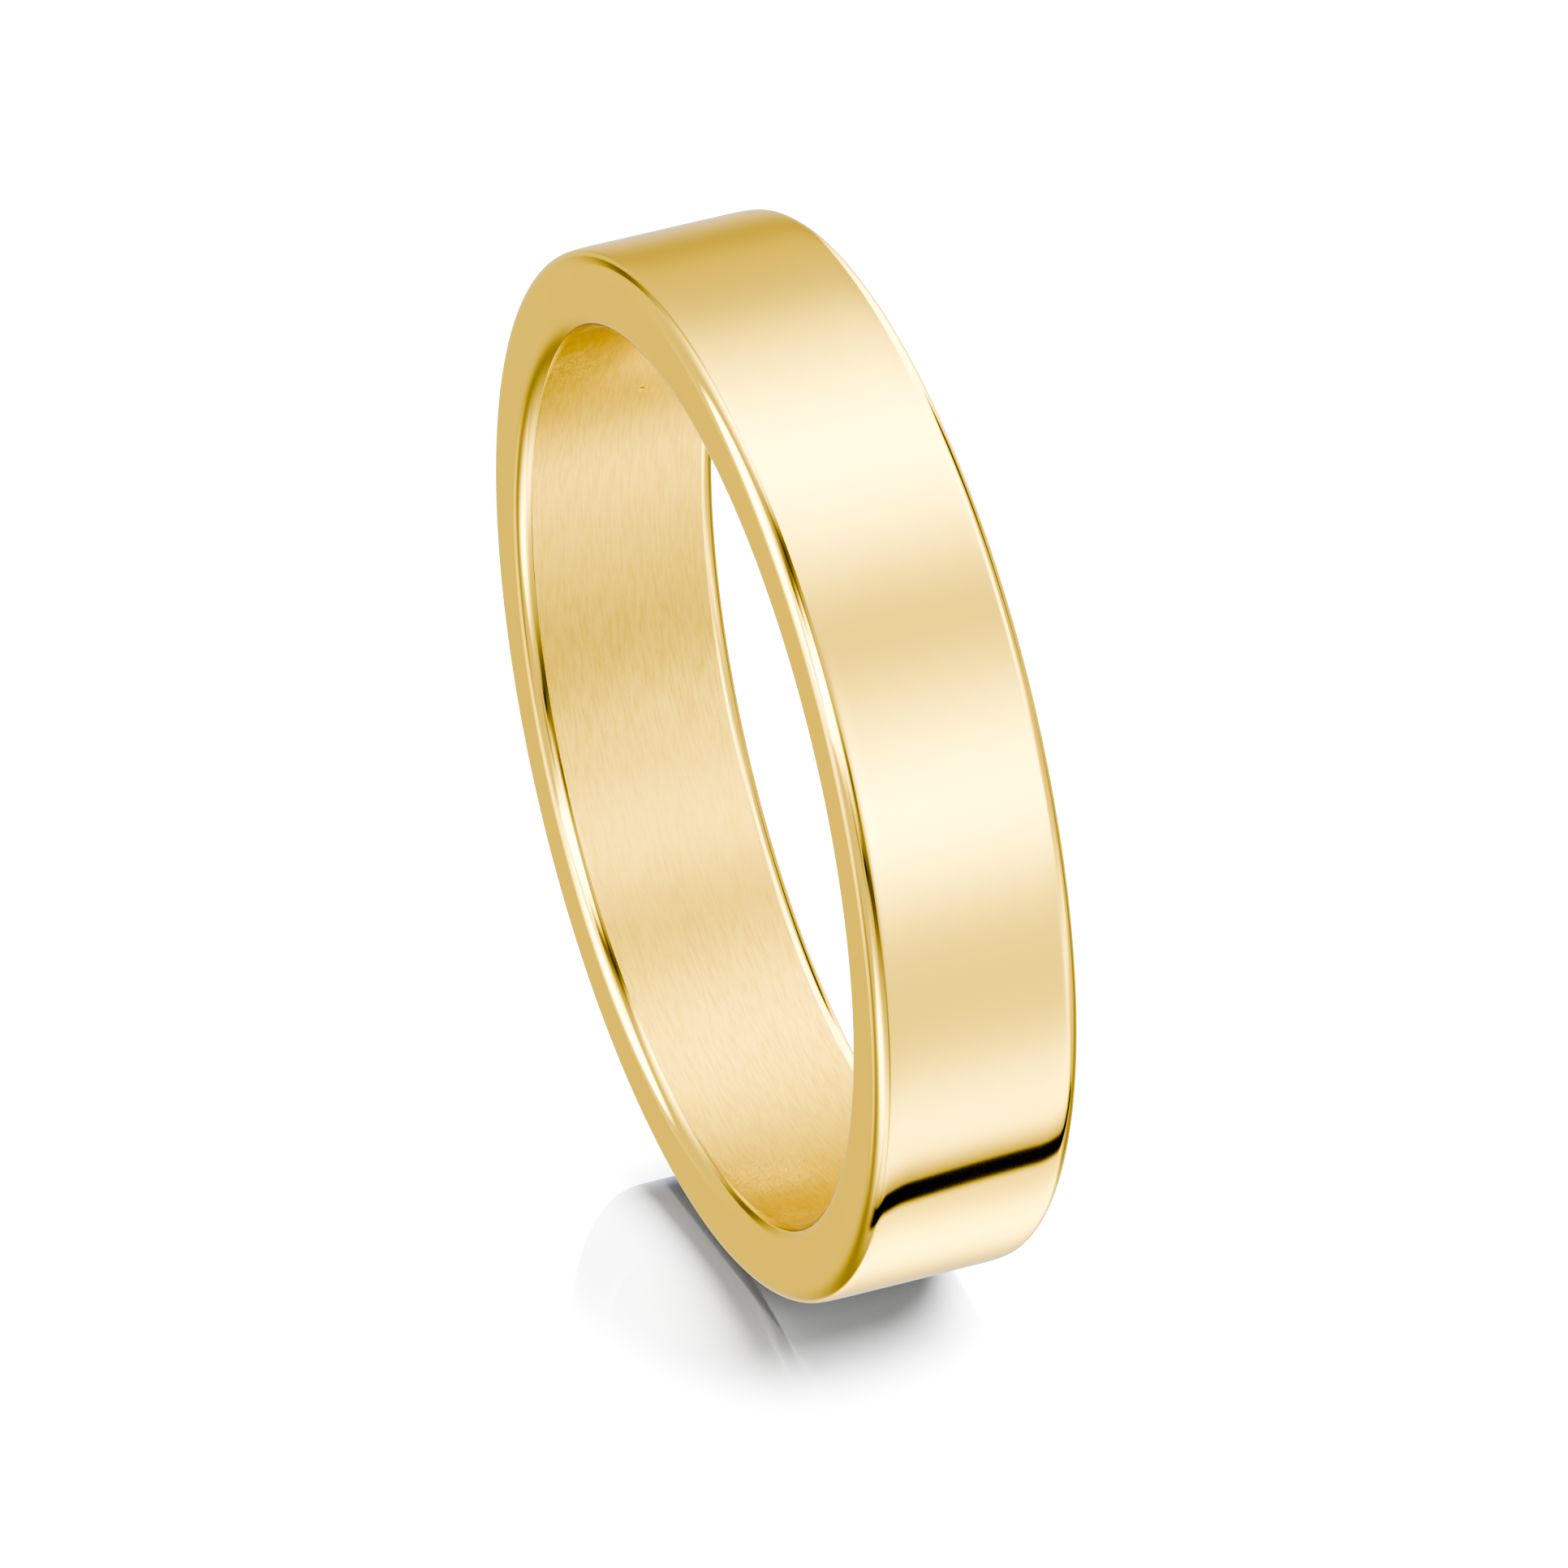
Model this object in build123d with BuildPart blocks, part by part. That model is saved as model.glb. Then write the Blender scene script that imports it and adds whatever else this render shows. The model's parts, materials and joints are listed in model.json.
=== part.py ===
from build123d import *
import os

# A plain wedding band: one closed ring of metal with a flat section and eased edges.
# It stands on its rim. The origin is the centre of the bore, the finger goes through
# along Y, and Z is up. All sizes are in millimetres.

finger_diameter = 17.0    # the bore, where the finger goes
wall = 1.5                # metal between the bore and the outer face
band_width = 4.0          # across the band, along the finger
outer_edge_radius = 0.35  # easing where the outer face meets each side face
bore_edge_radius = 0.35   # easing where the bore meets each side face

middle_radius = finger_diameter / 2 + wall / 2

with BuildPart() as band:
    # The section of the band lies beside the finger's axis, and is turned about it once.
    with BuildSketch(Plane.XY):
        with Locations((middle_radius, 0)):
            Rectangle(wall, band_width)
        fillet(vertices().group_by(Axis.X)[-1], radius=outer_edge_radius)
        fillet(vertices().group_by(Axis.X)[0], radius=bore_edge_radius)
    revolve(axis=Axis.Y, revolution_arc=360)

band.part.label = "band"

os.makedirs("parts", exist_ok=True)
export_step(band.part, "parts/band.step")
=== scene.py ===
import json
import logging
import math
from dataclasses import dataclass, field
from enum import Enum
from typing import Any

import bpy
from mathutils import Matrix, Vector


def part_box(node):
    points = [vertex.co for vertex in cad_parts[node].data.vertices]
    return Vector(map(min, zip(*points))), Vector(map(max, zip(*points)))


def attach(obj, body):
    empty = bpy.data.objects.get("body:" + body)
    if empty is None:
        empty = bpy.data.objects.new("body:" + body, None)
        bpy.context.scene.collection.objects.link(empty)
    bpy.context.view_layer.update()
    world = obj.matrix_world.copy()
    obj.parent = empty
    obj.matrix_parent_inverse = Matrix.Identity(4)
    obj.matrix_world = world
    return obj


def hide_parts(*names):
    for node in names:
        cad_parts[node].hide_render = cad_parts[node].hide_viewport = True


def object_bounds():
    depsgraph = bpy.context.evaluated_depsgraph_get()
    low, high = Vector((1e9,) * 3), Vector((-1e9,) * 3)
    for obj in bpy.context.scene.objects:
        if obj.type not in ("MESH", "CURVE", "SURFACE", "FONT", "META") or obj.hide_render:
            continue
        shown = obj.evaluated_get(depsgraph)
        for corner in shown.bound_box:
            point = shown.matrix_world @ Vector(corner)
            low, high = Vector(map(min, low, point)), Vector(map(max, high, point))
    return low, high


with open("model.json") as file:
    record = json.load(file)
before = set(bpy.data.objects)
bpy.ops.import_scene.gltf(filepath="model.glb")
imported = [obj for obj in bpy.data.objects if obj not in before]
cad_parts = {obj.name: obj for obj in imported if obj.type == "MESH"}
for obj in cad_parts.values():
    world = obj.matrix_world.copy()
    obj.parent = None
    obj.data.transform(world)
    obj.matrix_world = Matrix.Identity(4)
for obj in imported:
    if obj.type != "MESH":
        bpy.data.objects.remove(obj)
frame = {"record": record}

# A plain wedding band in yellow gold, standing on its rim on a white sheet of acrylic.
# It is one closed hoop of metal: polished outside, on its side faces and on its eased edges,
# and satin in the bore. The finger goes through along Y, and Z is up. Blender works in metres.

CAD_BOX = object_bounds()
MM = 0.001
LOG = logging.getLogger("wedding_band")
# A noise texture's values nearly all lie between these.
NOISE_LOW = 0.3
NOISE_HIGH = 0.7


class Effect(Enum):
    """What a softbox does to the light of the studio."""

    LIGHT = "adds light"
    FLAG = "takes light away"


def linear(hex_colour: str) -> tuple[float, float, float, float]:
    """Turn an sRGB hex colour into the linear colour that a shader takes.

    Args:
        hex_colour: Six hex digits with a leading #.

    Returns:
        Linear red, green, blue and an alpha of 1.
    """
    channels = [int(hex_colour[start:start + 2], 16) / 255 for start in (1, 3, 5)]
    light = [c / 12.92 if c <= 0.04045 else ((c + 0.055) / 1.055) ** 2.4 for c in channels]
    return (light[0], light[1], light[2], 1.0)


def add_node(
    tree: bpy.types.NodeTree,
    kind: str,
    links: dict[Any, Any] | None = None,
    values: dict[Any, Any] | None = None,
    **settings: Any,
) -> bpy.types.Node:
    """Add a node to a tree, with its settings, its unlinked values and its links.

    Args:
        tree: The tree that gets the node.
        kind: The node's type name.
        links: Output sockets by the name or number of the input that each goes into.
        values: Default values by the name or number of the input.
        **settings: The node's own properties.

    Returns:
        The new node.
    """
    node = tree.nodes.new(kind)
    for name, value in settings.items():
        setattr(node, name, value)
    for name, value in (values or {}).items():
        node.inputs[name].default_value = value
    for name, socket in (links or {}).items():
        tree.links.new(socket, node.inputs[name])
    return node


def maths(tree: bpy.types.NodeTree, operation: str, *terms: Any) -> Any:
    """Work out one sum on sockets and numbers.

    Args:
        tree: The tree that gets the node.
        operation: The Math node's operation.
        *terms: Output sockets or plain numbers, in the node's order.

    Returns:
        The socket that holds the answer.
    """
    numbers = {i: t for i, t in enumerate(terms) if isinstance(t, (int, float))}
    sockets = {i: t for i, t in enumerate(terms) if not isinstance(t, (int, float))}
    return add_node(tree, "ShaderNodeMath", sockets, numbers, operation=operation).outputs[0]


def ramp(tree: bpy.types.NodeTree, value: Any, low: float, high: float, start: float, end: float) -> Any:
    """Map a value smoothly from one span to another, and hold it at both ends.

    Args:
        tree: The tree that gets the node.
        value: The socket to map.
        low: Where the input span starts.
        high: Where the input span ends.
        start: The answer at low.
        end: The answer at high.

    Returns:
        The socket that holds the answer.
    """
    span = {1: low, 2: high, 3: start, 4: end}
    node = add_node(tree, "ShaderNodeMapRange", {0: value}, span, interpolation_type="SMOOTHSTEP")
    return node.outputs[0]


def new_material(name: str) -> tuple[bpy.types.Material, bpy.types.NodeTree, Any]:
    """Make an empty node material.

    Args:
        name: The finish's name.

    Returns:
        The material, its tree, and the input that takes the surface shader.
    """
    material = bpy.data.materials.new(name)
    material.use_nodes = True
    tree = material.node_tree
    tree.nodes.clear()
    output = add_node(tree, "ShaderNodeOutputMaterial")
    return material, tree, output.inputs["Surface"]


@dataclass(frozen=True)
class WorkedGold:
    """Eighteen carat yellow gold, a little pale, and how its surface was worked.

    A metal has no colour of its own under the shine: everything that the eye gets is the
    studio, tinted yellow. The finish decides how sharp the studio is in it.
    """

    name: str
    colour: str = "#FFDA63"       # yellow gold at normal incidence
    dulled: str = "#F6CB55"       # the same, a little deeper where the surface has been rubbed
    grazing: str = "#FFF1BD"      # gold keeps its yellow at a low angle, so its edge tint isn't white
    grain: float = 0.0            # how much further light is spread across the lines than along them
    grain_turn: float = 0.25      # a quarter turn puts the spread along the finger
    roughness: float = 0.1
    roughness_swing: float = 0.02
    line_spacing: float = 0.05 * MM    # from one polishing or satin line to the next
    line_length: float = 1.5 * MM      # how far a line runs before it dies out
    line_depth: float = 0.0002 * MM

    def line_coordinates(self, tree: bpy.types.NodeTree) -> Any:
        """Give coordinates in which one unit is one line's spacing or its length.

        Args:
            tree: The material's tree.

        Returns:
            The coordinates, from the piece's own place on the origin.
        """
        place = add_node(tree, "ShaderNodeTexCoord").outputs["Object"]
        along = 1 / self.line_length
        scale = (along, 1 / self.line_spacing, along)
        mapping = add_node(tree, "ShaderNodeMapping", {"Vector": place}, {"Scale": scale})
        return mapping.outputs["Vector"]

    def lines(self, tree: bpy.types.NodeTree) -> Any:
        """Draw fine lines round the band, as a wheel or an abrasive leaves them.

        Args:
            tree: The material's tree.

        Returns:
            The height of the lines, from 0 to 1.
        """
        noise = {"Scale": 1.0, "Detail": 3.0, "Roughness": 0.6}
        place = {"Vector": self.line_coordinates(tree)}
        return add_node(tree, "ShaderNodeTexNoise", place, noise).outputs["Fac"]

    def tint(self, tree: bpy.types.NodeTree, share: Any) -> Any:
        """Mix the clean and the rubbed gold colour.

        Args:
            tree: The material's tree.
            share: The share of rubbed gold, from 0 to 1.

        Returns:
            The colour.
        """
        colours = {6: linear(self.colour), 7: linear(self.dulled)}
        return add_node(tree, "ShaderNodeMix", {"Factor": share}, colours, data_type="RGBA").outputs[2]

    def finish(self, tree: bpy.types.NodeTree, surface: Any, colour: Any, rough: Any, normal: Any) -> None:
        """End the material in one metal shader.

        Args:
            tree: The material's tree.
            surface: The output's surface input.
            colour: The tint.
            rough: The roughness.
            normal: The normal from the bump.
        """
        looks = {"Base Color": colour, "Roughness": rough, "Normal": normal}
        fixed = {"Metallic": 1.0, "Specular Tint": linear(self.grazing), "Anisotropic": self.grain}
        if self.grain:
            chart = add_node(tree, "ShaderNodeTangent", direction_type="UV_MAP", uv_map="OFBake")
            looks["Tangent"] = chart.outputs[0]
            fixed["Anisotropic Rotation"] = self.grain_turn
        metal = add_node(tree, "ShaderNodeBsdfPrincipled", looks, fixed)
        tree.links.new(metal.outputs["BSDF"], surface)


@dataclass(frozen=True)
class MirrorPolishedGold(WorkedGold):
    """Gold buffed on a wheel with rouge, as on the outside, the side faces and the edges.

    The eye gets clear, slightly softened pictures of the lights, with straight edges, and
    only the faintest trace of the wheel round the band.
    """

    name: str = "mirror_polished_yellow_gold"
    roughness: float = 0.06
    roughness_swing: float = 0.03
    # A wheel's lines are a few thousandths of a millimetre apart. They are drawn at 0.06 mm
    # so that they show at all.
    line_spacing: float = 0.06 * MM
    line_length: float = 3.0 * MM
    line_depth: float = 0.00001 * MM
    haze_size: float = 2.5 * MM        # patches where the wheel pressed more or less
    haze_share: float = 0.7            # how much of the roughness comes from the patches, not the lines
    dull_share: float = 0.25           # how far the haziest patches take the rubbed colour

    def build(self) -> bpy.types.Material:
        """Make the material.

        Returns:
            The finished material.
        """
        material, tree, surface = new_material(self.name)
        lines = self.lines(tree)
        place = add_node(tree, "ShaderNodeTexCoord").outputs["Object"]
        haze_look = {"Scale": 1 / self.haze_size, "Detail": 2.0, "Roughness": 0.5}
        haze = add_node(tree, "ShaderNodeTexNoise", {"Vector": place}, haze_look).outputs["Fac"]
        lined = maths(tree, "MULTIPLY", lines, 1 - self.haze_share)
        mixed = maths(tree, "MULTIPLY_ADD", haze, self.haze_share, lined)
        roughest = self.roughness + self.roughness_swing
        rough = ramp(tree, mixed, NOISE_LOW, NOISE_HIGH, self.roughness, roughest)
        bump = add_node(
            tree,
            "ShaderNodeBump",
            {"Height": lines},
            {"Strength": 1.0, "Distance": self.line_depth},
        ).outputs["Normal"]
        colour = self.tint(tree, ramp(tree, haze, 0.45, 0.8, 0.0, self.dull_share))
        self.finish(tree, surface, colour, rough, bump)
        return material


@dataclass(frozen=True)
class SatinGold(WorkedGold):
    """Gold rubbed round the bore with fine abrasive, then worn a little by handling.

    The eye gets a soft silky glow with no pictures in it, crossed by fine hairlines that run
    round the finger hole, a few stray scuffs near the rims and one tiny casting pit.
    """

    name: str = "satin_yellow_gold"
    roughness: float = 0.45
    roughness_swing: float = 0.06
    grain: float = 1.0
    # Abrasive of about 20 microns leaves lines of that width. They are drawn at 0.05 mm.
    line_spacing: float = 0.05 * MM
    line_length: float = 0.45 * MM
    line_depth: float = 0.005 * MM
    scuff_size: float = 0.16 * MM
    scuff_depth: float = 0.006 * MM
    scuff_centres: tuple[Vector, ...] = (
        Vector((0.6, -0.9, -8.5)) * MM,
        Vector((3.0, -1.3, -7.9)) * MM,
        Vector((-6.4, -1.4, 5.5)) * MM,
        Vector((5.5, 1.2, 6.4)) * MM,
    )
    scuff_reach: float = 1.5 * MM
    groove_share: float = 0.5          # how much deeper the colour is in the grooves between the lines
    pit_centre: Vector = field(default_factory=lambda: Vector((-7.44, 0.31, 4.10)) * MM)
    pit_size: float = 0.06 * MM
    pit_depth: float = 0.03 * MM

    def near(self, tree: bpy.types.NodeTree, place: Any, centre: Vector, reach: float) -> Any:
        """Give 1 at a point of the bore and 0 beyond a distance from it.

        Args:
            tree: The material's tree.
            place: The piece's own coordinates.
            centre: The point.
            reach: The distance.

        Returns:
            The share, from 0 to 1.
        """
        gap = add_node(
            tree, "ShaderNodeVectorMath", {0: place}, {1: centre}, operation="DISTANCE"
        ).outputs["Value"]
        return ramp(tree, gap, 0.0, reach, 1.0, 0.0)

    def scuffs(self, tree: bpy.types.NodeTree, place: Any) -> Any:
        """Scatter short scuffs round a few worn places.

        Args:
            tree: The material's tree.
            place: The piece's own coordinates.

        Returns:
            The height of the scuffs, from 0 to 1.
        """
        worn: Any = None
        for centre in self.scuff_centres:
            share = self.near(tree, place, centre, self.scuff_reach)
            worn = share if worn is None else maths(tree, "MAXIMUM", worn, share)
        look = {"Scale": 1 / self.scuff_size, "Detail": 4.0, "Roughness": 0.7, "Distortion": 1.5}
        marks = add_node(tree, "ShaderNodeTexNoise", {"Vector": place}, look).outputs["Fac"]
        return maths(tree, "MULTIPLY", ramp(tree, marks, 0.42, 0.62, 0.0, 1.0), worn)

    def build(self) -> bpy.types.Material:
        """Make the material.

        Returns:
            The finished material.
        """
        material, tree, surface = new_material(self.name)
        place = add_node(tree, "ShaderNodeTexCoord").outputs["Object"]
        lines = self.lines(tree)
        scuffs = self.scuffs(tree, place)
        pit = self.near(tree, place, self.pit_centre, self.pit_size)
        silk = add_node(
            tree,
            "ShaderNodeBump",
            {"Height": lines},
            {"Strength": 1.0, "Distance": self.line_depth},
        ).outputs["Normal"]
        worn = add_node(
            tree,
            "ShaderNodeBump",
            {"Height": scuffs, "Normal": silk},
            {"Strength": 1.0, "Distance": self.scuff_depth},
        ).outputs["Normal"]
        normal = add_node(
            tree,
            "ShaderNodeBump",
            {"Height": pit, "Normal": worn},
            {"Strength": 1.0, "Distance": self.pit_depth},
            invert=True,
        ).outputs["Normal"]
        # The crests of the lines are smoother than the grooves.
        roughest = self.roughness + self.roughness_swing
        rough = ramp(tree, lines, NOISE_LOW, NOISE_HIGH, roughest, self.roughness)
        grooves = ramp(tree, lines, NOISE_LOW, 0.6, self.groove_share, 0.0)
        # The grooves and the pit take the deeper colour.
        share = maths(tree, "MAXIMUM", grooves, pit)
        self.finish(tree, surface, self.tint(tree, share), rough, normal)
        return material


@dataclass
class Hoop:
    """The band itself: its section is carried round the finger's axis by a rule.

    The tree lays out a grid, reads the eased rectangular section along one side of it and
    the angle round the band along the other, and closes both seams.
    """

    bore_radius: float
    outer_radius: float
    width: float
    bore_easing: float
    outer_easing: float = 0.28 * MM
    relief: float = 0.06 * MM          # how far polishing has rounded the outside off at its edges
    relief_reach: float = 0.75 * MM    # how far in from the edge that rounding starts
    relief_power: float = 3.0          # how sharply it grows towards the edge
    relief_depth: float = 0.4 * MM     # how far out from the wall's middle it has come in fully
    land_slack: float = 0.004 * MM     # faces this near to the bore's radius are its straight land
    steps_round: int = 360
    steps_section: int = 240
    steps_easing: int = 24
    join: float = 0.001 * MM           # points nearer than this are one point
    sizes: dict[str, float] = field(default_factory=dict)

    def __post_init__(self) -> None:
        """Gather the sizes under the names of the tree's inputs."""
        self.sizes = {
            "Bore Radius": self.bore_radius,
            "Outer Radius": self.outer_radius,
            "Width": self.width,
            "Bore Easing": self.bore_easing,
            "Outer Easing": self.outer_easing,
            "Relief": self.relief,
            "Relief Reach": self.relief_reach,
            "Steps Round": self.steps_round,
            "Steps Section": self.steps_section,
            "Steps Easing": self.steps_easing,
        }

    def open_tree(self) -> tuple[bpy.types.NodeTree, dict[str, Any]]:
        """Make the tree with its named inputs.

        Returns:
            The tree, and the sockets that its inputs give inside.
        """
        tree = bpy.data.node_groups.new("turned_band", "GeometryNodeTree")
        tree.interface.new_socket("Geometry", in_out="OUTPUT", socket_type="NodeSocketGeometry")
        for name, size in self.sizes.items():
            kind = "NodeSocketInt" if isinstance(size, int) else "NodeSocketFloat"
            tree.interface.new_socket(name, in_out="INPUT", socket_type=kind)
        for name in ("Polish", "Satin"):
            tree.interface.new_socket(name, in_out="INPUT", socket_type="NodeSocketMaterial")
        inputs = add_node(tree, "NodeGroupInput")
        return tree, {socket.name: socket for socket in inputs.outputs if socket.name}

    def section(self, tree: bpy.types.NodeTree, given: dict[str, Any]) -> Any:
        """Draw the eased section, flat, with the outer face to the right.

        Args:
            tree: The tree.
            given: The tree's inputs.

        Returns:
            The section as a closed curve.
        """
        wall = maths(tree, "SUBTRACT", given["Outer Radius"], given["Bore Radius"])
        sides = {"Width": wall, "Height": given["Width"]}
        corners = add_node(tree, "GeometryNodeCurvePrimitiveQuadrilateral", sides)
        across = add_node(
            tree,
            "ShaderNodeSeparateXYZ",
            {0: add_node(tree, "GeometryNodeInputPosition").outputs[0]},
        ).outputs["X"]
        outside = maths(tree, "GREATER_THAN", across, 0.0)
        radius = add_node(
            tree,
            "GeometryNodeSwitch",
            {"Switch": outside, "False": given["Bore Easing"], "True": given["Outer Easing"]},
            input_type="FLOAT",
        ).outputs[0]
        return add_node(
            tree,
            "GeometryNodeFilletCurve",
            {"Curve": corners.outputs[0], "Radius": radius, "Count": given["Steps Easing"]},
            mode="POLY",
        ).outputs[0]

    def rounding(self, tree: bpy.types.NodeTree, given: dict[str, Any], point: Any) -> Any:
        """Say how much lower polishing has left a point of the outside.

        Args:
            tree: The tree.
            given: The tree's inputs.
            point: The point of the section, as X and Y.

        Returns:
            The depth, which grows with a power of the way towards the edge.
        """
        half = maths(tree, "MULTIPLY", given["Width"], 0.5)
        start = maths(tree, "SUBTRACT", half, given["Relief Reach"])
        past = maths(tree, "SUBTRACT", maths(tree, "ABSOLUTE", point["Y"]), start)
        way = maths(tree, "MAXIMUM", maths(tree, "DIVIDE", past, given["Relief Reach"]), 0.0)
        grown = maths(tree, "POWER", way, self.relief_power)
        outer_share = ramp(tree, point["X"], 0.0, self.relief_depth, 0.0, 1.0)
        return maths(tree, "MULTIPLY", maths(tree, "MULTIPLY", grown, given["Relief"]), outer_share)

    def skin(self, tree: bpy.types.NodeTree, given: dict[str, Any], section: Any) -> Any:
        """Wrap a grid round the finger's axis, on the section.

        Args:
            tree: The tree.
            given: The tree's inputs.
            section: The section's curve.

        Returns:
            The closed skin of the band.
        """
        columns = maths(tree, "ADD", given["Steps Round"], 1)
        rows = maths(tree, "ADD", given["Steps Section"], 1)
        grid = add_node(
            tree,
            "GeometryNodeMeshGrid",
            {"Vertices X": columns, "Vertices Y": rows},
            {"Size X": 1.0, "Size Y": 1.0},
        )
        charted = add_node(
            tree,
            "GeometryNodeStoreNamedAttribute",
            {"Geometry": grid.outputs["Mesh"], "Value": grid.outputs["UV Map"]},
            {"Name": "OFBake"},
            data_type="FLOAT2",
            domain="CORNER",
        ).outputs[0]
        place = add_node(tree, "GeometryNodeInputPosition").outputs[0]
        cell = add_node(tree, "ShaderNodeSeparateXYZ", {0: place})
        share = maths(tree, "ADD", cell.outputs["Y"], 0.5)
        point = add_node(
            tree,
            "GeometryNodeSampleCurve",
            {"Curves": section, "Factor": share},
            mode="FACTOR",
            use_all_curves=True,
        ).outputs["Position"]
        beside = add_node(tree, "ShaderNodeSeparateXYZ", {0: point})
        both = maths(tree, "ADD", given["Bore Radius"], given["Outer Radius"])
        middle = maths(tree, "MULTIPLY", both, 0.5)
        sharp = maths(tree, "ADD", middle, beside.outputs["X"])
        radius = maths(tree, "SUBTRACT", sharp, self.rounding(tree, given, beside.outputs))
        # The seam lies at the foot of the band, where it touches the table.
        turn = maths(tree, "MULTIPLY_ADD", cell.outputs["X"], 2 * math.pi, math.pi / 2)
        spot = {
            "X": maths(tree, "MULTIPLY", radius, maths(tree, "COSINE", turn)),
            "Y": beside.outputs["Y"],
            "Z": maths(tree, "MULTIPLY", radius, maths(tree, "SINE", turn)),
        }
        wrapped = add_node(
            tree,
            "GeometryNodeSetPosition",
            {"Geometry": charted, "Position": add_node(tree, "ShaderNodeCombineXYZ", spot).outputs[0]},
        ).outputs[0]
        joined = {"Geometry": wrapped}
        closed = add_node(tree, "GeometryNodeMergeByDistance", joined, {"Distance": self.join}).outputs[0]
        # Wrapped this way, the grid looks into the metal, so its faces are turned round.
        return add_node(tree, "GeometryNodeFlipFaces", {"Mesh": closed}).outputs[0]

    def in_bore(self, tree: bpy.types.NodeTree, given: dict[str, Any]) -> Any:
        """Pick the faces of the straight land of the bore.

        Args:
            tree: The tree.
            given: The tree's inputs.

        Returns:
            The selection.
        """
        place = add_node(tree, "GeometryNodeInputPosition").outputs[0]
        flat = add_node(
            tree, "ShaderNodeVectorMath", {0: place}, {1: (1.0, 0.0, 1.0)}, operation="MULTIPLY"
        ).outputs["Vector"]
        radius = add_node(tree, "ShaderNodeVectorMath", {0: flat}, operation="LENGTH").outputs["Value"]
        edge = maths(tree, "ADD", given["Bore Radius"], self.land_slack)
        return maths(tree, "LESS_THAN", radius, edge)

    def build(self, name: str, polish: bpy.types.Material, satin: bpy.types.Material) -> bpy.types.Object:
        """Make the hoop as a plain mesh with its two finishes.

        Args:
            name: The piece's name.
            polish: The finish of the outside, the side faces and the edges.
            satin: The finish of the bore.

        Returns:
            The piece, at the origin.
        """
        tree, given = self.open_tree()
        skin = self.skin(tree, given, self.section(tree, given))
        smooth = add_node(tree, "GeometryNodeSetShadeSmooth", {"Geometry": skin}).outputs[0]
        real = add_node(tree, "GeometryNodeRealizeInstances", {"Geometry": smooth}).outputs[0]
        dress = {"Geometry": real, "Material": given["Polish"]}
        polished = add_node(tree, "GeometryNodeSetMaterial", dress).outputs[0]
        rub = {"Geometry": polished, "Selection": self.in_bore(tree, given), "Material": given["Satin"]}
        rubbed = add_node(tree, "GeometryNodeSetMaterial", rub).outputs[0]
        add_node(tree, "NodeGroupOutput", {"Geometry": rubbed})

        holder = bpy.data.objects.new("holder", bpy.data.meshes.new("holder"))
        bpy.context.scene.collection.objects.link(holder)
        modifier = holder.modifiers.new("turned_band", "NODES")
        modifier.node_group = tree
        wanted = {**self.sizes, "Polish": polish, "Satin": satin}
        for socket in tree.interface.items_tree:
            if socket.in_out == "INPUT":
                modifier[socket.identifier] = wanted[socket.name]
        graph = bpy.context.evaluated_depsgraph_get()
        mesh = bpy.data.meshes.new_from_object(holder.evaluated_get(graph))
        mesh.name = name
        holder.modifiers.remove(modifier)
        bpy.data.objects.remove(holder)
        piece = bpy.data.objects.new(name, mesh)
        bpy.context.scene.collection.objects.link(piece)
        return piece


@dataclass
class WeddingBand:
    """The whole ring, which is one piece: it stands for the CAD node of the same metal."""

    node: str = "band"
    slot: str = "gold"
    polish: MirrorPolishedGold = field(default_factory=MirrorPolishedGold)
    satin: SatinGold = field(default_factory=SatinGold)

    def hoop(self) -> Hoop:
        """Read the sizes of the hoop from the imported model.

        Returns:
            The hoop, with the CAD's own sizes.
        """
        low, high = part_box(self.node)
        mounts = {mount["name"]: mount["dims"] for mount in frame["record"]["mounts"]}
        bore = mounts["finger_bore"]
        width = high.y - low.y
        return Hoop(
            bore_radius=bore["r_mm"] * MM,
            outer_radius=(high.z - low.z) / 2,
            width=width,
            bore_easing=(width - bore["length_mm"] * MM) / 2,
        )

    def build(self) -> list[bpy.types.Object]:
        """Make the ring and hang it on the frame.

        Returns:
            The pieces made.
        """
        piece = self.hoop().build("turned_hoop", self.polish.build(), self.satin.build())
        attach(piece, "root")
        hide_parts(self.node)
        return [piece]


@dataclass(frozen=True)
class Softbox:
    """A long soft light, or a dark flag, that the polished gold shows as a band or a patch.

    It is given as a direction from the ring: an angle round the finger's axis, from +X up
    to +Z, and a span along that axis, from -1 to 1.
    """

    angle: float          # degrees round the finger's axis
    spread: float         # degrees from the middle to where it has faded to about 0.6
    start: float          # where it starts along the axis
    end: float            # where it ends along the axis
    fade: float           # how softly it starts and ends
    level: float          # light added, or for a flag the share of light taken away
    effect: Effect = Effect.LIGHT


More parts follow.
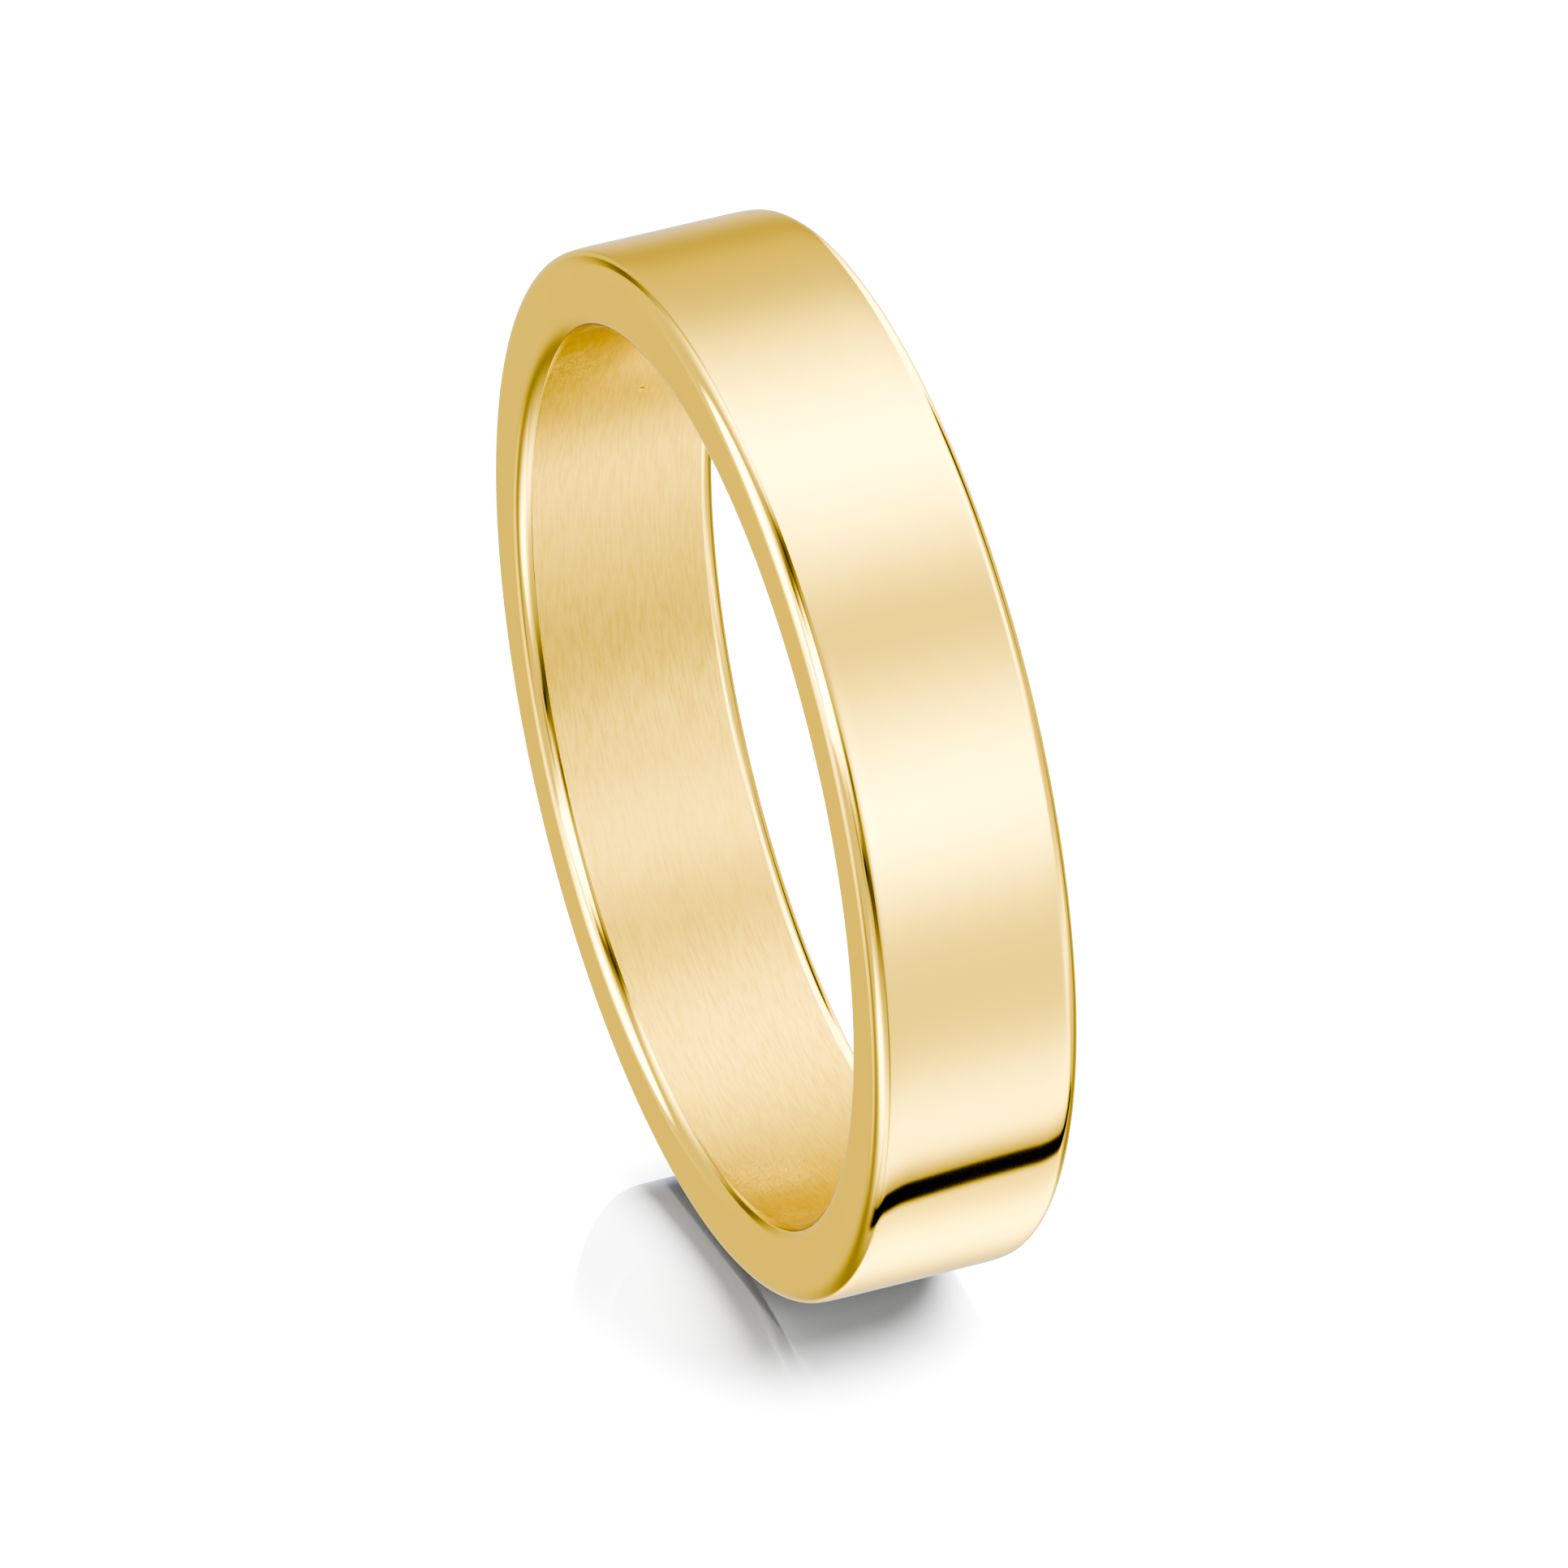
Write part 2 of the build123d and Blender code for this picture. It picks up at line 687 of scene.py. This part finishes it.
@dataclass(frozen=True)
class Studio:
    """A white studio: broad lights all round, a white floor sheet and a few dark flags."""

    room: float = 0.76                # light from the white walls, which the metal shows as plain gold
    backdrop: float = 6.0             # what the camera sees behind the ring
    sheen: float = 16.0               # what the floor's gloss mirrors
    overhead: float = 0.525           # light that the floor gets from straight above, and less from lower
    lamp_azimuth: float = 48.0        # the table's lamp, in degrees from +X towards +Y
    lamp_height: float = 60.0         # its height above the horizon, in degrees
    lamp_width: float = 50.0          # how wide it looks from the ring, in degrees
    lamp_level: float = 5.2           # how bright it makes the open table
    # Gold seen in gold keeps its light and colour, as each layer of yellow is taken off again.
    inner_share: float = 6.2          # light for gold that is seen in gold
    inner_balance: str = "#6376FF"
    deep_share: float = 18.0          # light for gold that is seen in gold in gold
    deep_balance: str = "#3F5CFF"
    softboxes: tuple[Softbox, ...] = (
        # Tall window, front right.
        Softbox(13.0, 13.0, 0.10, 0.66, 0.20, 3.20),
        Softbox(22.0, 12.0, -0.20, 0.20, 0.15, 0.80),
        # Overhead bank, with two weaker wings behind it.
        Softbox(93.0, 17.5, -0.35, 0.80, 0.25, 3.50),
        Softbox(126.0, 9.0, 0.10, 0.60, 0.20, 0.30),
        Softbox(112.0, 14.0, -0.55, -0.10, 0.15, 0.90),
        # Lit sheet, under the ring and in front of it.
        Softbox(-108.0, 11.0, 0.08, 0.48, 0.12, 2.80),
        Softbox(-63.0, 11.5, -0.45, 0.60, 0.15, 1.85),
        # Faint fill above and below the window.
        Softbox(37.0, 9.0, 0.10, 0.95, 0.20, 0.35),
        Softbox(-30.0, 25.0, 0.00, 0.95, 0.20, 0.30),
        # Strips at the near side, which draw the bright lines in the near edges.
        Softbox(49.0, 15.0, -1.00, -0.52, 0.12, 8.00),
        Softbox(152.0, 28.0, -1.00, -0.76, 0.08, 7.00),
        Softbox(-60.0, 15.0, -0.85, -0.48, 0.08, 4.20),
        Softbox(-142.0, 16.0, -0.95, -0.58, 0.10, 0.60),
        # Fill from the far side, into the bore.
        Softbox(150.0, 24.0, 0.48, 0.82, 0.10, 4.50),
        Softbox(52.0, 20.0, 0.58, 0.85, 0.12, 2.20),
        Softbox(-34.0, 10.0, 0.45, 0.90, 0.12, 1.10),
        # Dark flags at the near side, which draw the dark lines in the near edges.
        Softbox(0.5, 5.0, -0.66, -0.48, 0.04, 0.96, Effect.FLAG),
        Softbox(-3.0, 12.0, -0.52, -0.10, 0.08, 0.82, Effect.FLAG),
        Softbox(22.0, 9.0, -0.38, -0.10, 0.06, 0.75, Effect.FLAG),
        Softbox(8.0, 12.0, -0.86, -0.74, 0.05, 0.50, Effect.FLAG),
        Softbox(73.0, 13.0, -0.85, -0.04, 0.08, 0.93, Effect.FLAG),
        Softbox(-45.0, 24.0, -0.13, 0.01, 0.04, 0.60, Effect.FLAG),
        Softbox(-45.0, 18.0, -0.62, -0.48, 0.05, 0.50, Effect.FLAG),
        # Flags beside the lit sheet, one to each side, which take a little off the top of the bore.
        Softbox(-114.0, 13.0, -0.95, 0.02, 0.10, 0.60, Effect.FLAG),
        Softbox(-114.0, 13.0, 0.56, 1.00, 0.10, 0.60, Effect.FLAG),
        # Flags behind and above the ring.
        Softbox(166.0, 13.0, -0.30, -0.08, 0.05, 0.75, Effect.FLAG),
        Softbox(125.0, 22.0, -0.12, 0.03, 0.04, 0.40, Effect.FLAG),
        Softbox(176.0, 8.0, 0.10, 0.60, 0.10, 0.28, Effect.FLAG),
        # Flag at the far side, which draws the dark line in the far edge.
        Softbox(138.0, 14.0, 0.82, 1.10, 0.04, 0.97, Effect.FLAG),
    )

    def softbox_group(self) -> bpy.types.NodeTree:
        """Make the group that says how much of one softbox a direction sees.

        Returns:
            The group, with named inputs for the direction and the softbox.
        """
        tree = bpy.data.node_groups.new("softbox", "ShaderNodeTree")
        tree.interface.new_socket("Share", in_out="OUTPUT", socket_type="NodeSocketFloat")
        for name in ("Right", "Up", "Along", "Aim Right", "Aim Up", "Sharpness", "Start", "End", "Fade"):
            tree.interface.new_socket(name, in_out="INPUT", socket_type="NodeSocketFloat")
        given = add_node(tree, "NodeGroupInput").outputs
        right = maths(tree, "MULTIPLY", given["Right"], given["Aim Right"])
        facing = maths(tree, "MULTIPLY_ADD", given["Up"], given["Aim Up"], right)
        away = maths(tree, "SUBTRACT", facing, 1.0)
        across = maths(tree, "EXPONENT", maths(tree, "MULTIPLY", away, given["Sharpness"]))
        shares = [across]
        for edge, inwards in (("Start", 1.0), ("End", -1.0)):
            past = maths(tree, "SUBTRACT", given["Along"], given[edge])
            depth = maths(tree, "DIVIDE", maths(tree, "MULTIPLY", past, inwards), given["Fade"])
            shares.append(ramp(tree, depth, -0.5, 0.5, 0.0, 1.0))
        both = maths(tree, "MULTIPLY", shares[1], shares[2])
        add_node(tree, "NodeGroupOutput", {"Share": maths(tree, "MULTIPLY", shares[0], both)})
        return tree

    def seen(self, tree: bpy.types.NodeTree, group: Any, look: dict[str, Any], box: Softbox) -> Any:
        """Say how much of a softbox a direction sees, times its level.

        Args:
            tree: The world's tree.
            group: The softbox group.
            look: The direction, as Right, Up and Along.
            box: The softbox.

        Returns:
            The light, or for a flag the share of light taken away.
        """
        angle, spread = math.radians(box.angle), math.radians(box.spread)
        aim = {
            "Aim Right": math.cos(angle),
            "Aim Up": math.sin(angle),
            "Sharpness": 1 / spread ** 2,
            "Start": box.start,
            "End": box.end,
            "Fade": box.fade,
        }
        # The group comes first, because its inputs do not exist until it is chosen.
        node = add_node(tree, "ShaderNodeGroup", node_tree=group)
        for name, value in aim.items():
            node.inputs[name].default_value = value
        for name, socket in look.items():
            tree.links.new(socket, node.inputs[name])
        return maths(tree, "MULTIPLY", node.outputs["Share"], box.level)

    def light_of(self, tree: bpy.types.NodeTree) -> tuple[Any, Any]:
        """Add up the room, the lights and the flags for the looked-at direction.

        Args:
            tree: The world's tree.

        Returns:
            The light, and the height of the direction above the horizon.
        """
        direction = add_node(tree, "ShaderNodeTexCoord").outputs["Generated"]
        axes = add_node(tree, "ShaderNodeSeparateXYZ", {0: direction}).outputs
        across = maths(tree, "MULTIPLY", axes["X"], axes["X"])
        squares = maths(tree, "MULTIPLY_ADD", axes["Z"], axes["Z"], across)
        # A hair more than nothing, so that a look straight along the finger divides by something.
        reach = maths(tree, "SQRT", maths(tree, "ADD", squares, 1e-6))
        look = {
            "Right": maths(tree, "DIVIDE", axes["X"], reach),
            "Up": maths(tree, "DIVIDE", axes["Z"], reach),
            "Along": axes["Y"],
        }
        group = self.softbox_group()
        total: Any = self.room
        for box in self.softboxes:
            seen = self.seen(tree, group, look, box)
            if box.effect is Effect.LIGHT:
                total = maths(tree, "ADD", seen, total)
            else:
                total = maths(tree, "MULTIPLY", total, maths(tree, "SUBTRACT", 1.0, seen))
        return total, axes["Z"]

    def bounced(self, tree: bpy.types.NodeTree, depth: Any, times: int) -> Any:
        """Say whether a ray has bounced at least so many times.

        Args:
            tree: The world's tree.
            depth: The count of its bounces of one kind.
            times: The least count.

        Returns:
            1 where it has, and 0 where it has not.
        """
        return maths(tree, "GREATER_THAN", depth, times - 0.5)

    def build_world(self) -> None:
        """Light the scene with the studio."""
        world = bpy.data.worlds.new("white_studio")
        bpy.context.scene.world = world
        world.use_nodes = True
        tree = world.node_tree
        tree.nodes.clear()
        light, height = self.light_of(tree)
        path = add_node(tree, "ShaderNodeLightPath").outputs
        sky = maths(tree, "MULTIPLY", maths(tree, "MAXIMUM", height, 0.0), self.overhead)
        twice = self.bounced(tree, path["Glossy Depth"], 2)
        thrice = self.bounced(tree, path["Glossy Depth"], 3)
        # Each kind of ray that follows replaces the light that the gold gets with its own.
        choices = (
            (self.bounced(tree, path["Diffuse Depth"], 1), sky),
            (path["Is Singular Ray"], self.sheen),
            (path["Is Camera Ray"], self.backdrop),
        )
        more = maths(tree, "MULTIPLY_ADD", twice, self.inner_share - 1, 1.0)
        kept = maths(tree, "MULTIPLY_ADD", thrice, self.deep_share - self.inner_share, more)
        strength = maths(tree, "MULTIPLY", light, kept)
        for chosen, level in choices:
            mix = add_node(tree, "ShaderNodeMix", {0: chosen, 2: strength}, data_type="FLOAT")
            if isinstance(level, float):
                mix.inputs[3].default_value = level
            else:
                tree.links.new(level, mix.inputs[3])
            strength = mix.outputs[0]
        plain = {6: linear("#FFFFFF"), 7: linear(self.inner_balance)}
        inner = add_node(tree, "ShaderNodeMix", {"Factor": twice}, plain, data_type="RGBA").outputs[2]
        deeper = {7: linear(self.deep_balance)}
        tinted = add_node(tree, "ShaderNodeMix", {"Factor": thrice, 6: inner}, deeper, data_type="RGBA")
        glow = {"Color": tinted.outputs[2], "Strength": strength}
        add_node(
            tree,
            "ShaderNodeOutputWorld",
            {"Surface": add_node(tree, "ShaderNodeBackground", glow).outputs[0]},
        )

    def build_table_lamp(self) -> bpy.types.Object:
        """Hang the lamp that lights the table alone, and so draws the ring's soft shadow.

        Returns:
            The lamp.
        """
        turn, rise = math.radians(self.lamp_azimuth), math.radians(self.lamp_height)
        data = bpy.data.lights.new("table_lamp", "SUN")
        data.angle = math.radians(self.lamp_width)
        data.energy = self.lamp_level * math.pi / math.sin(rise)
        lamp = bpy.data.objects.new("table_lamp", data)
        bpy.context.scene.collection.objects.link(lamp)
        aim = Vector((math.cos(rise) * math.cos(turn), math.cos(rise) * math.sin(turn), math.sin(rise)))
        lamp.rotation_euler = aim.to_track_quat("Z", "Y").to_euler()
        lamp.visible_glossy = False
        return lamp

    def build(self) -> None:
        """Light the scene and set how light turns into tone."""
        self.build_world()
        self.build_table_lamp()
        view = bpy.context.scene.view_settings
        view.view_transform = "AgX"
        view.look = "AgX - Very High Contrast"


@dataclass(frozen=True)
class WhiteAcrylic:
    """Cast acrylic sheet, white and glossy, as a product table has.

    The eye gets a clean white with the soft shadow of the foot on it, and a faint mirror
    picture of the foot that is lost a few millimetres away. Further out the sheet glows
    with painted light of its own, which whitens it and hides the lamp's shadow there.
    """

    name: str = "white_acrylic"
    colour: str = "#FCFCFC"
    gloss_tint: str = "#898989"
    gloss: float = 0.43               # the share of mirror in the finish, close to the foot
    gloss_start: float = 1.5 * MM     # from here the mirror fades
    gloss_end: float = 7.6 * MM
    half_foot: float = 2.0 * MM       # half the length of the line that the ring stands on
    glow: float = 5.0                 # painted glow: light the sheet gives off itself, more the further it is from the foot, which hides the lamp's shadow
    glow_start: float = 4.8 * MM      # from here the painted glow comes in
    glow_end: float = 10.0 * MM
    glow_aspect: float = 2.0          # how much sooner it comes in behind and beside the foot

    def foot_distance(self, tree: bpy.types.NodeTree, aspect: float) -> Any:
        """Measure how far a point of the sheet is from the line that the ring stands on.

        Args:
            tree: The material's tree.
            aspect: How much a way behind the line, or past its ends, counts against one in front.

        Returns:
            The distance.
        """
        place = add_node(tree, "ShaderNodeTexCoord").outputs["Object"]
        axes = add_node(tree, "ShaderNodeSeparateXYZ", {0: place}).outputs
        past = maths(tree, "SUBTRACT", maths(tree, "ABSOLUTE", axes["Y"]), self.half_foot)
        beyond = maths(tree, "MULTIPLY", maths(tree, "MAXIMUM", past, 0.0), aspect)
        behind = maths(tree, "MULTIPLY", axes["X"], -aspect)
        across = maths(tree, "MAXIMUM", axes["X"], behind)
        squares = maths(tree, "MULTIPLY_ADD", across, across, maths(tree, "MULTIPLY", beyond, beyond))
        return maths(tree, "SQRT", squares)

    def build(self) -> bpy.types.Material:
        """Make the material.

        Returns:
            The finished material.
        """
        material, tree, surface = new_material(self.name)
        gap = self.foot_distance(tree, 1.0)
        share = ramp(tree, gap, self.gloss_start, self.gloss_end, self.gloss, 0.0)
        body = add_node(tree, "ShaderNodeBsdfDiffuse", values={"Color": linear(self.colour)})
        gloss = add_node(
            tree,
            "ShaderNodeBsdfAnisotropic",
            values={"Color": linear(self.gloss_tint), "Roughness": 0.0},
        )
        shaders = {0: share, 1: body.outputs[0], 2: gloss.outputs[0]}
        mix = add_node(tree, "ShaderNodeMixShader", shaders)
        # Painted glow: away from the foot the sheet gives off light of its own, which whitens it and hides
        # the lamp's shadow there.
        far = self.foot_distance(tree, self.glow_aspect)
        glow = add_node(tree, "ShaderNodeEmission", values={"Strength": self.glow})
        painted_glow_share = ramp(tree, far, self.glow_start, self.glow_end, 0.0, 1.0)
        whole = add_node(tree, "ShaderNodeMixShader", {0: painted_glow_share, 1: mix.outputs[0], 2: glow.outputs[0]})
        tree.links.new(whole.outputs[0], surface)
        return material


@dataclass(frozen=True)
class Table:
    """The white sheet that the ring stands on, and the dark ring card round its foot."""

    half_side: float = 250 * MM
    card_radius: float = 20.0 * MM     # to the middle of the card's width
    card_width: float = 1.12 * MM
    card_inset: float = 0.2 * MM       # how far inside its edges the card is fully black
    card_bleed: float = 0.3 * MM       # how far past its edges it still shows
    card_haze: float = 1.8 * MM        # how far the grey beyond its outer edge reaches
    card_haze_level: float = 0.70      # how dark that grey starts
    card_start: float = -27.0          # degrees from +X where the card starts
    card_end: float = 14.0             # and where it ends
    card_thinning: float = 6.0         # degrees over which it comes in at its start
    card_centre: Vector = field(default_factory=lambda: Vector((-9.82, 4.3, 0.0)) * MM)
    card_lift: float = 0.05 * MM
    card_steps: int = 90
    acrylic: WhiteAcrylic = field(default_factory=WhiteAcrylic)

    def build_sheet(self, level: float) -> bpy.types.Object:
        """Lay the sheet.

        Args:
            level: The height of its top.

        Returns:
            The sheet.
        """
        corners = [(-1, -1), (1, -1), (1, 1), (-1, 1)]
        points = [(x * self.half_side, y * self.half_side, level) for x, y in corners]
        mesh = bpy.data.meshes.new("table_sheet")
        mesh.from_pydata(points, [], [(0, 1, 2, 3)])
        mesh.materials.append(self.acrylic.build())
        sheet = bpy.data.objects.new("table_sheet", mesh)
        bpy.context.scene.collection.objects.link(sheet)
        # The gold shows the studio's own light from below in place of the sheet.
        sheet.visible_glossy = False
        return sheet

    def black_card(self) -> bpy.types.Material:
        """Make the material of the dark card, which gives back no light at all.

        Returns:
            The finished material.
        """
        material, tree, surface = new_material("black_card")
        place = add_node(tree, "ShaderNodeTexCoord").outputs["Object"]
        flat = add_node(
            tree, "ShaderNodeVectorMath", {0: place}, {1: self.card_centre}, operation="SUBTRACT"
        ).outputs["Vector"]
        level = add_node(
            tree, "ShaderNodeVectorMath", {0: flat}, {1: (1.0, 1.0, 0.0)}, operation="MULTIPLY"
        ).outputs["Vector"]
        radius = add_node(tree, "ShaderNodeVectorMath", {0: level}, operation="LENGTH").outputs["Value"]
        inner = self.card_radius - self.card_width / 2
        outer = self.card_radius + self.card_width / 2
        rise = ramp(tree, radius, inner - self.card_bleed, inner + self.card_inset, 0.0, 1.0)
        core = ramp(tree, radius, outer - self.card_inset, outer + self.card_bleed, 1.0, 0.0)
        hazed = outer - self.card_bleed
        haze = ramp(tree, radius, hazed, outer + self.card_haze, self.card_haze_level, 0.0)
        across = maths(tree, "MULTIPLY", rise, maths(tree, "MAXIMUM", core, haze))
        beside = add_node(tree, "ShaderNodeSeparateXYZ", {0: level}).outputs
        turn = maths(tree, "ARCTAN2", beside["Y"], beside["X"])
        first, last = math.radians(self.card_start), math.radians(self.card_start + self.card_thinning)
        share = maths(tree, "MULTIPLY", across, ramp(tree, turn, first, last, 0.0, 1.0))
        clear = add_node(tree, "ShaderNodeBsdfTransparent")
        black = add_node(tree, "ShaderNodeBsdfDiffuse", values={"Color": (0.0, 0.0, 0.0, 1.0)})
        mix = add_node(tree, "ShaderNodeMixShader", {0: share, 1: clear.outputs[0], 2: black.outputs[0]})
        tree.links.new(mix.outputs[0], surface)
        return material

    def build_card(self, level: float) -> bpy.types.Object:
        """Cut the dark ring card, which only the polished gold shows.

        Args:
            level: The height of the sheet.

        Returns:
            The card.
        """
        # The card is cut wider than it shows, to leave room for its faded edges.
        inner = self.card_radius - self.card_width
        outer = self.card_radius + self.card_width + self.card_haze
        height = level + self.card_lift
        points = []
        for step in range(self.card_steps + 1):
            share = step / self.card_steps
            turn = math.radians(self.card_start + (self.card_end - self.card_start) * share)
            for radius in (inner, outer):
                x = self.card_centre.x + radius * math.cos(turn)
                y = self.card_centre.y + radius * math.sin(turn)
                points.append((x, y, height))
        faces = [(i, i + 1, i + 3, i + 2) for i in range(0, 2 * self.card_steps, 2)]
        mesh = bpy.data.meshes.new("dark_ring_card")
        mesh.from_pydata(points, [], faces)
        mesh.materials.append(self.black_card())
        card = bpy.data.objects.new("dark_ring_card", mesh)
        bpy.context.scene.collection.objects.link(card)
        card.visible_camera = False
        card.visible_diffuse = False
        card.visible_shadow = False
        return card

    def build(self, level: float) -> list[bpy.types.Object]:
        """Set the table.

        Args:
            level: The height that the ring stands at.

        Returns:
            The sheet and the card.
        """
        things = [self.build_sheet(level), self.build_card(level)]
        return things


@dataclass(frozen=True)
class ProductCamera:
    """A long lens, a little above the ring and well round to its right."""

    azimuth: float = 71.035
    elevation: float = 29.022
    roll: float = 4.0
    distance: float = 371.63 * MM
    aim: Vector = field(default_factory=lambda: Vector((0.242, -0.065, -0.450)) * MM)
    lens: float = 461.16
    sensor: float = 36.0
    nearest: float = 10 * MM      # what is nearer than this is not drawn
    furthest: float = 10.0        # and what is further off

    def build(self) -> bpy.types.Object:
        """Set up the camera and make it the scene's.

        Returns:
            The camera.
        """
        turn, rise, tilt = (math.radians(a) for a in (self.azimuth, self.elevation, self.roll))
        back = Vector((math.sin(turn) * math.cos(rise), -math.cos(turn) * math.cos(rise), math.sin(rise)))
        level = (-back).cross(Vector((0.0, 0.0, 1.0))).normalized()
        upright = level.cross(-back)
        up = upright * math.cos(tilt) + level * math.sin(tilt)
        right = (-back).cross(up)
        data = bpy.data.cameras.new("product_camera")
        data.sensor_width = self.sensor
        data.lens = self.lens
        data.clip_start = self.nearest
        data.clip_end = self.furthest
        camera = bpy.data.objects.new("product_camera", data)
        bpy.context.scene.collection.objects.link(camera)
        turned = Matrix((right, up, back)).transposed().to_4x4()
        camera.matrix_world = Matrix.Translation(self.aim + back * self.distance) @ turned
        bpy.context.scene.camera = camera
        return camera


def main() -> None:
    """Build the camera, the ring, the table and the studio, and report each."""
    logging.basicConfig(level=logging.INFO, format="%(name)s: %(message)s")
    camera = ProductCamera().build()
    LOG.info("camera at %s", [round(c, 4) for c in camera.location])
    for piece in WeddingBand().build():
        LOG.info("%s: %d faces", piece.name, len(piece.data.polygons))
    for thing in Table().build(CAD_BOX[0].z):
        LOG.info("%s: stage", thing.name)
    Studio().build()
    LOG.info("studio lit")


if __name__ == "__main__":
    main()
